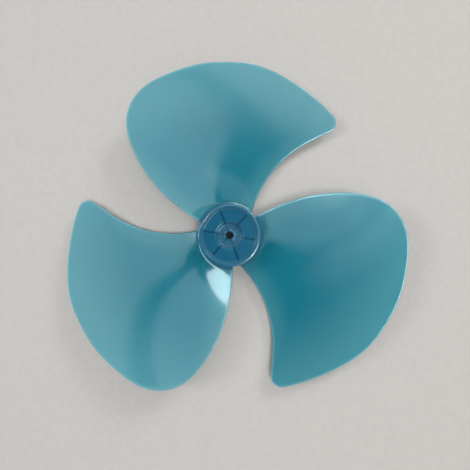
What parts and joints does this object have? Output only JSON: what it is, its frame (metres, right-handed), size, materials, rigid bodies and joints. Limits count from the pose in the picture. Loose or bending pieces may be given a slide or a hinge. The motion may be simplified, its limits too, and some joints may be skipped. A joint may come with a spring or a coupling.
{
  "type": "pedestal fan blade",
  "caption": "One-piece moulded fan impeller: a cup-shaped hub with a shaft bore and wide forward-swept blades that push air along the shaft axis.",
  "frame": {"origin": "on the shaft axis at the floor of the boss's cross slot, which seats on the motor shaft's drive pin", "axes": "+Z along the shaft axis towards the front, where the spinner nut goes on; +X to the right and +Y up, seen from the front"},
  "size_m": [0.3871, 0.3761, 0.0456],
  "materials": {
    "tinted_plastic": "translucent teal, satin gloss"
  },
  "bodies": {
    "root": {"fan_blade": "tinted_plastic"}
  },
  "joints": []
}
